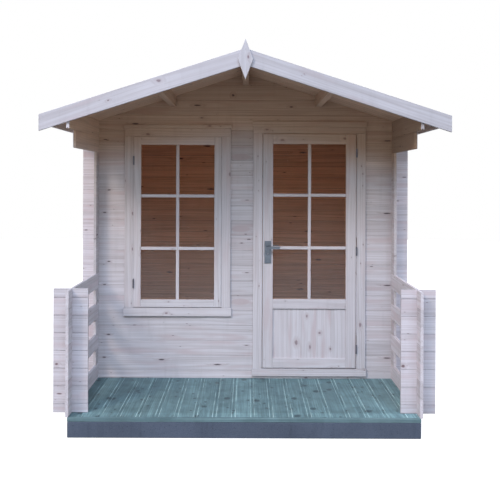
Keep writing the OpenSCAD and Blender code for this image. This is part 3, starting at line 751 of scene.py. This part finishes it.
doorBoards = {"count": 5, "joint": 0.0014, "shade": -0.3, "seed": 11}


def doorPanel():
    low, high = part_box("door_panel")
    seenLow, seenHigh = sightOf("door_panel")
    stack, rng = newStack(), random.Random(doorBoards["seed"])
    wide = (seenHigh.x - seenLow.x) / doorBoards["count"]
    for i in range(doorBoards["count"]):
        left = low.x if i == 0 else seenLow.x + i * wide
        right = high.x if i == doorBoards["count"] - 1 else seenLow.x + (i + 1) * wide
        board = block((left, low.y, low.z), (right, high.y, high.z))
        stackSolid(stack, board, rng, upZ, doorBoards["joint"], 1,
                   pick=lambda e: abs(e.verts[0].co.z - e.verts[1].co.z) > 0.1)
    shadeJoints(stack, doorBoards["shade"])
    finishPiece("doorPanelBoards", stack, panelWood, "door", ("door_panel",))


glazing = {"bar": 0.0235, "barDepth": 0.0145, "chamfer": 0.0035, "rows": 3, "gap": 0.0002, "tuck": 0.002,
           "set": 0.0006}


def glazingBars(name, node, body, seed):
    low, high = sightOf(node)
    stack, rng = newStack(), random.Random(seed)
    bar, rows, gap, deep = glazing["bar"], glazing["rows"], glazing["gap"], glazing["barDepth"]
    middle = (low.x + high.x) / 2
    left, right = middle - bar / 2, middle + bar / 2
    pane = (high.z - low.z - bar * (rows - 1)) / rows
    bars = [(left, right, low.z + gap, high.z - gap, deep, upZ)]
    for row in range(1, rows):
        z = low.z + row * pane + (row - 1) * bar
        for x0, x1 in ((low.x + gap, left + glazing["tuck"]), (right - glazing["tuck"], high.x - gap)):
            bars.append((x0, x1, z, z + bar, deep - glazing["set"], alongX))
    for face, out in ((low.y, -1), (high.y, 1)):
        for x0, x1, z0, z1, depth, along in bars:
            front = face + out * depth
            near, far = sorted((face, front))
            stackSolid(stack, block((x0, near, z0), (x1, far, z1)), rng, along, glazing["chamfer"], 2,
                       pick=lambda e: all(abs(v.co.y - front) < 1e-6 for v in e.verts))
    finishPiece(name, stack, sashWood, body)


strips = {"windowGap": 0.005, "windowWide": 0.0046, "doorGap": 0.007, "doorWide": 0.0038, "set": 0.005,
          "deep": 0.012, "clear": 0.004, "easing": 0.0008}


def gapStrips(name, leaf, hinges, gap, wide, hingeSide, seed):
    # slim strips on the lining, beside and over a leaf, that stop at its hinges
    low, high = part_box(leaf)
    near, far = low.y + strips["set"], low.y + strips["set"] + strips["deep"]
    stack, rng = newStack(), random.Random(seed)
    breaks = []
    for bm in solidsOf(hinges):
        heights = [v.co.z for v in bm.verts]
        breaks.append((min(heights) - strips["clear"], max(heights) + strips["clear"]))
        bm.free()
    if leaf == "door_leaf":  # the upper halves of its hinges are on the leaf
        breaks = [(a, b + (b - a) - 2 * strips["clear"]) for a, b in breaks]
    top = high.z + gap
    for side, edge in ((-1, low.x - gap), (1, high.x + gap)):
        x0, x1 = sorted((edge, edge - side * wide))
        between = [z for pair in sorted(breaks) for z in pair] if side == hingeSide else []
        stops = [low.z, *between, top]
        for z0, z1 in zip(stops[::2], stops[1::2]):
            stackSolid(stack, block((x0, near, z0), (x1, far, z1)), rng, upZ, strips["easing"], 1)
    over = block((low.x - gap + wide, near, top - wide), (high.x + gap - wide, far, top))
    stackSolid(stack, over, rng, alongX, strips["easing"], 1)
    finishPiece(name, stack, trimWood, "cabin")


doorPanel()
glazingBars("windowBars", "window_glass", "cabin", 21)
glazingBars("doorBars", "door_glass", "door", 22)
for node in ("window_glass", "door_glass"):
    cadNodes[node].data.materials[0] = glass
gapStrips("windowStrips", "window_sash", "window_hinges", strips["windowGap"], strips["windowWide"], -1, 23)
gapStrips("doorStrips", "door_leaf", "door_hinge_pins", strips["doorGap"], strips["doorWide"], 1, 24)
print("joinery: window and door with bars and strips")


# floor boards

# shade tones each board by its place across, as painted shade: darker to the left, where the left rail shades
# the deck, and paler to the right
deck = {"pitch": 0.1216, "joint": -0.92, "most": 40, "least": 0.02, "gap": 0.0012, "shoulder": 0.0095,
        "strip": 0.0036, "drop": 0.0012, "shade": 0.45, "seed": 31}


def deckBoards():
    # each board has a low shoulder along both edges, coloured pale where it rises
    low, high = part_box("porch_deck")
    stack, rng = newStack(), random.Random(deck["seed"])
    first = deck["joint"] - math.floor((deck["joint"] - low.x) / deck["pitch"]) * deck["pitch"]
    steps = [first + i * deck["pitch"] for i in range(deck["most"])]
    joints = [low.x] + [x for x in steps if x < high.x - deck["least"]] + [high.x]
    boards = []
    for i, (a, b) in enumerate(zip(joints, joints[1:])):
        a += deck["gap"] / 2 if i else 0
        b -= deck["gap"] / 2 if i < len(joints) - 2 else 0
        boards.append((a, b))
        inner, rise, edge = deck["shoulder"], deck["shoulder"] + deck["strip"], high.z - deck["drop"]
        outline = [(a, low.z), (b, low.z), (b, edge), (b - inner, edge), (b - rise, high.z),
                   (a + rise, high.z), (a + inner, edge), (a, edge)]
        stackSolid(stack, prism(outline, 1, low.y, high.y), rng, alongY,
                   worn=lambda face: 0.1 < abs(face.normal.x) < 0.9, shade=deck["shade"] * (a + b) / 2)
    finishPiece("porchDeckBoards", stack, deckWood, "cabin", ("porch_deck",))
    return boards


floorBoards = {"pitch": 0.112, "gap": 0.0006, "easing": 0.002, "seed": 32}


def cabinBoards():
    low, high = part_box("cabin_floor")
    stack, rng = newStack(), random.Random(floorBoards["seed"])
    count = round((high.y - low.y) / floorBoards["pitch"])
    step = (high.y - low.y) / count

    def topEdge(e):
        level = all(abs(v.co.z - high.z) < 1e-6 for v in e.verts)
        return level and abs(e.verts[0].co.x - e.verts[1].co.x) > 0.2

    for i in range(count):
        a = low.y + i * step + (floorBoards["gap"] / 2 if i else 0)
        b = low.y + (i + 1) * step - (floorBoards["gap"] / 2 if i < count - 1 else 0)
        board = block((low.x, a, low.z), (high.x, b, high.z))
        stackSolid(stack, board, rng, alongX, floorBoards["easing"], 2, pick=topEdge)
    finishPiece("cabinFloorBoards", stack, deckWood, "cabin", ("cabin_floor",))


deckEdges = deckBoards()
cabinBoards()
easedCopy("deckFrontEdge", "deck_front_trim", edgeWood, easing=0.003, along=alongX)
easedCopy("basePlinth", "base_plinth", stone, easing=0.006, segments=3, along=alongX)
print("floors:", len(deckEdges), "deck boards")


# small heads of nails and screws

headLook = {"sunk": 0.0006, "wall": 0.35, "crown": 0.62, "recessEdge": 0.25, "recessDepth": 0.7}


def addHead(stack, spot, out, radius, rise, sides, rng, recess=False):
    # a low domed head, with an optional recess in its top
    out = out.normalized()
    side = out.orthogonal().normalized()
    other = out.cross(side)
    bm = bmesh.new()
    turns = [2 * math.pi * i / sides for i in range(sides)]
    rings = []
    for share, lift in ((1.0, -headLook["sunk"]), (1.0, rise * headLook["wall"]), (headLook["crown"], rise)):
        ways = [side * math.cos(a) + other * math.sin(a) for a in turns]
        rings.append([bm.verts.new(spot + way * radius * share + out * lift) for way in ways])
    for lower, upper in zip(rings, rings[1:]):
        for i in range(sides):
            bm.faces.new((lower[i], lower[(i + 1) % sides], upper[(i + 1) % sides], upper[i]))
    top = bm.faces.new(rings[-1])
    bm.faces.new(list(reversed(rings[0])))
    bmesh.ops.recalc_face_normals(bm, faces=bm.faces)
    if recess:
        bmesh.ops.inset_individual(bm, faces=[top], thickness=radius * headLook["recessEdge"])
        bmesh.ops.translate(bm, verts=list(top.verts), vec=-out * rise * headLook["recessDepth"])
    stackSolid(stack, bm, rng, out)


# roof

roofLook = {"boards": 37, "joint": 0.0035, "gap": 0.0001, "seeds": {"left": 41, "right": 42}}


def profileOf(node):
    # the corners of a slab's section, taken at its front end
    points = np.array([v.co for v in cadNodes[node].data.vertices])
    front = points[points[:, 1] < points[:, 1].min() + 1e-4][:, (0, 2)]
    corners = []
    for p in front:
        if not any(abs(p - c).max() < 1e-5 for c in corners):
            corners.append(p)
    corners = np.array(corners)
    middle = corners.mean(0)
    order = np.argsort(np.arctan2(corners[:, 1] - middle[1], corners[:, 0] - middle[0]))
    return [tuple(float(c) for c in corners[i]) for i in order]


def roofBoards(sideName, seed):
    node = sideName + "_roof_boards"
    low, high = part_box(node)
    outline = profileOf(node)
    stack, rng = newStack(), random.Random(seed)
    step = (high.y - low.y) / roofLook["boards"]
    inner = min(outline, key=lambda p: (abs(p[0]) > 0.1, p[1]))
    outer = min((p for p in outline if abs(p[0]) > 0.1), key=lambda p: p[1])
    slope = Vector((outer[0] - inner[0], 0.0, outer[1] - inner[1])).normalized()

    def underside(e):
        ends = [v.co for v in e.verts]
        off = [(end.x - inner[0]) * slope.z - (end.z - inner[1]) * slope.x for end in ends]
        return (ends[0] - ends[1]).length >= 0.5 and all(abs(d) < 1e-4 for d in off)

    for i in range(roofLook["boards"]):
        bm = prism(outline, 1, low.y + i * step + roofLook["gap"], low.y + (i + 1) * step - roofLook["gap"])
        stackSolid(stack, bm, rng, slope, roofLook["joint"], 1, pick=underside)
    shadeJoints(stack, -1.0)
    finishPiece(sideName + "RoofBoards", stack, roofWood, "cabin", (node,))


feltCut = {"thick": 0.003, "upright": 0.0031, "lift": 0.0024, "lap": 0.075, "roll": 1.0, "capHalf": 0.25,
           "eaves": 0.0025, "slack": 0.002, "bend": 0.02, "halfWide": 1.3, "seed": 51}
feltNail = {"gap": 0.11, "radius": 0.0055, "rise": 0.0012, "sides": 8, "lap": 0.02, "eaves": 0.03,
            "end": 0.04}


def feltRoof():
    low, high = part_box("roof_felt")
    slope = math.atan2(high.z - low.z - feltCut["upright"], high.x)
    runX, runZ = math.cos(slope), -math.sin(slope)
    reach = high.x / runX
    thick, cap = feltCut["thick"], feltCut["capHalf"]
    over = thick + feltCut["lift"]
    stack, rng = newStack(), random.Random(feltCut["seed"])

    def at(side, down, lift):  # a spot on the slope: how far down it, and how far off it
        x = side * (down * runX + lift * math.sin(slope))
        return x, high.z + down * runZ + (lift - thick) * math.cos(slope)

    def strip(side, path):  # stations of one sheet: how far down, and the heights of its two faces
        outline = [at(side, d, o) for d, u, o in path] + [at(side, d, u) for d, u, o in reversed(path)]
        return [(min(feltCut["halfWide"], max(-feltCut["halfWide"], x)), z) for x, z in outline]

    first = reach - feltCut["roll"]
    lap = first + feltCut["lap"]
    lower = [(first, 0.0, thick), (reach - feltCut["eaves"], 0.0, thick)]
    upper = [(feltCut["slack"], 0.0, thick), (first - feltCut["bend"], 0.0, thick),
             (first + feltCut["slack"], thick, over), (lap, thick, over)]
    ridge = [(0.0, thick, over), (cap, thick, over)]
    for side in (-1, 1):
        for path in (lower, upper, ridge):
            stackSolid(stack, prism(strip(side, path), 1, low.y, high.y), rng, alongY)
    finishPiece("feltCourses", stack, felt, "cabin", ("roof_felt",))

    nails = newStack()
    length = high.y - low.y - 2 * feltNail["end"]
    count = int(length / feltNail["gap"])
    rows = ((lap - feltNail["lap"], over), (cap - feltNail["lap"], over), (reach - feltNail["eaves"], thick))
    for side in (-1, 1):
        tilt = Vector((side * math.sin(slope), 0, math.cos(slope)))
        for down, level in rows:
            x, z = at(side, down, level)
            for i in range(count + 1):
                spot = Vector((x, low.y + feltNail["end"] + length * i / count, z))
                addHead(nails, spot, tilt, feltNail["radius"], feltNail["rise"], feltNail["sides"], rng)
    finishPiece("feltNails", nails, steel, "cabin")


for sideName, seed in roofLook["seeds"].items():
    roofBoards(sideName, seed)
feltRoof()
print("roof:", roofLook["boards"], "boards a side, felt in courses")


# ironmongery

ironEasing = {"window_hinges": 0.0004, "door_hinge_flags": 0.0004, "door_hinge_pins": 0.0004,
              "door_plates": 0.0012, "door_lever": 0.0016}
for node, easing in ironEasing.items():
    metal = hingeIron if "hinge" in node else steel
    easedCopy(titleOf(node), node, metal, easing, along=upZ, smooth=True)

plateScrew = {"radius": 0.0036, "rise": 0.0011, "sides": 14, "inset": 0.012, "seed": 61}


def plateScrews():
    low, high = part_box("door_plates")
    stack, rng = newStack(), random.Random(plateScrew["seed"])
    middle = (low.x + high.x) / 2
    for y, out in ((low.y, -1), (high.y, 1)):
        for z in (low.z + plateScrew["inset"], high.z - plateScrew["inset"]):
            addHead(stack, Vector((middle, y, z)), Vector((0, out, 0)), plateScrew["radius"],
                    plateScrew["rise"], plateScrew["sides"], rng, recess=True)
    finishPiece("plateScrews", stack, steel, "door", smooth=True)


deckNail = {"edge": 0.03, "front": 0.035, "back": 0.045, "strayX": 0.003, "strayY": 0.004, "sunk": 0.0004,
            "radius": 0.0032, "rise": 0.0006, "sides": 8, "seed": 62}


def deckNails():
    low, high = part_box("porch_deck")
    stack, rng = newStack(), random.Random(deckNail["seed"])
    strayX, strayY = deckNail["strayX"], deckNail["strayY"]
    for a, b in deckEdges:
        for x in (a + deckNail["edge"], b - deckNail["edge"]):
            for y in (low.y + deckNail["front"], (low.y + high.y) / 2, high.y - deckNail["back"]):
                spot = Vector((x + rng.uniform(-strayX, strayX), y + rng.uniform(-strayY, strayY),
                               high.z - deckNail["sunk"]))
                addHead(stack, spot, upZ, deckNail["radius"], deckNail["rise"], deckNail["sides"], rng)
    finishPiece("deckNails", stack, steel, "cabin")


plateScrews()
deckNails()
print("ironmongery: hinges, handle, screws and nails")


# floor, light and camera

studio = {"floorRadius": 16.0, "floorDrop": 0.001, "floorGlow": 0.9, "floorPale": 0.45, "floorBounce": 0.2,
          "horizon": (1.0, 1.04, 1.02), "zenith": (0.18, 0.18, 0.2)}
lights = {"sky": {"place": (0.8, -17.0, 17.5), "aim": (0, -0.6, 0.9), "size": (20.0, 11.0), "power": 4700,
                  "colour": (0.67, 0.81, 1.0)},
          "key": {"place": (-12.0, -15.5, 14.5), "aim": (0, -0.8, 0.9), "size": (6.0, 6.0), "power": 2550,
                  "colour": (1.0, 0.86, 0.74)},
          "rear": {"place": (6.0, 16.0, 15.0), "aim": (0, 0.6, 1.0), "size": (14.0, 9.0), "power": 2400,
                   "colour": (0.94, 0.97, 1.0)},
          "room": {"place": (0.0, -0.58, 0.98), "aim": (0, 1.5, 0.98), "size": (2.0, 1.6), "power": 2.17,
                   "colour": (1.0, 0.72, 0.47)}}


def seenDirectly(tree):
    path = put(tree, "ShaderNodeLightPath").outputs
    mirror = calc(tree, "MAXIMUM", path["Is Glossy Ray"], path["Is Transmission Ray"])
    return calc(tree, "MAXIMUM", path["Is Camera Ray"], mirror)


def mixInto(tree, outputKind, hidden, seen):
    mixed = put(tree, "ShaderNodeMixShader", {"Fac": seenDirectly(tree)})
    tree.links.new(hidden, mixed.inputs[1])
    tree.links.new(seen, mixed.inputs[2])
    tree.links.new(mixed.outputs[0], put(tree, outputKind).inputs["Surface"])


def studioFloor():
    mesh = bpy.data.meshes.new("studioFloor")
    bm = bmesh.new()
    bmesh.ops.create_circle(bm, cap_ends=True, segments=96, radius=studio["floorRadius"])
    bm.to_mesh(mesh)
    bm.free()
    piece = bpy.data.objects.new("studioFloor", mesh)
    piece.location.z = -studio["floorDrop"]
    scene.collection.objects.link(piece)
    material = bpy.data.materials.new("paleFloor")
    material.use_nodes = True
    tree = material.node_tree
    tree.nodes.clear()
    pale = put(tree, "ShaderNodeBsdfDiffuse", {"Color": (studio["floorPale"],) * 3}).outputs[0]
    glow = put(tree, "ShaderNodeEmission", {"Color": (1, 1, 1), "Strength": studio["floorGlow"]}).outputs[0]
    bounce = put(tree, "ShaderNodeBsdfDiffuse", {"Color": (studio["floorBounce"],) * 3}).outputs[0]
    both = put(tree, "ShaderNodeAddShader")
    tree.links.new(pale, both.inputs[0])
    tree.links.new(glow, both.inputs[1])
    mixInto(tree, "ShaderNodeOutputMaterial", bounce, both.outputs[0])
    mesh.materials.append(material)


def studioWorld():
    world = bpy.data.worlds.new("paleStudio")
    scene.world = world
    world.use_nodes = True
    tree = world.node_tree
    tree.nodes.clear()
    white = put(tree, "ShaderNodeBackground", {"Color": (1, 1, 1), "Strength": 1.0}).outputs[0]
    lift = split(tree, put(tree, "ShaderNodeTexCoord").outputs["Generated"])["Z"]
    tint = blendColour(tree, ease(tree, lift, 0.05, 0.65), studio["horizon"], studio["zenith"])
    fill = put(tree, "ShaderNodeBackground", {"Color": tint, "Strength": 1.0}).outputs[0]
    mixInto(tree, "ShaderNodeOutputWorld", fill, white)


def softLight(name, look):
    light = bpy.data.lights.new(name + "Light", "AREA")
    light.shape = "RECTANGLE"
    light.size, light.size_y = look["size"]
    light.energy = look["power"]
    light.color = look["colour"]
    lamp = bpy.data.objects.new(name + "Light", light)
    lamp.location = look["place"]
    lamp.rotation_euler = (Vector(look["aim"]) - Vector(look["place"])).to_track_quat("-Z", "Y").to_euler()
    lamp.visible_camera = lamp.visible_glossy = lamp.visible_transmission = False
    scene.collection.objects.link(lamp)


view = {"place": (0.012, -6.5075, 1.617), "roll": -0.22, "lens": 55.2, "sensor": 36.0,
        "shift": (0.0061, -0.1354)}


def frontCamera():
    camera = bpy.data.cameras.new("frontCamera")
    camera.lens = view["lens"]
    camera.sensor_width = view["sensor"]
    camera.shift_x, camera.shift_y = view["shift"]
    stand = bpy.data.objects.new("frontCamera", camera)
    stand.location = view["place"]
    stand.rotation_euler = (math.radians(90), math.radians(view["roll"]), 0)
    scene.collection.objects.link(stand)
    scene.camera = stand


studioFloor()
studioWorld()
for name, look in lights.items():
    softLight(name, look)
frontCamera()
print("studio: floor, light and camera")
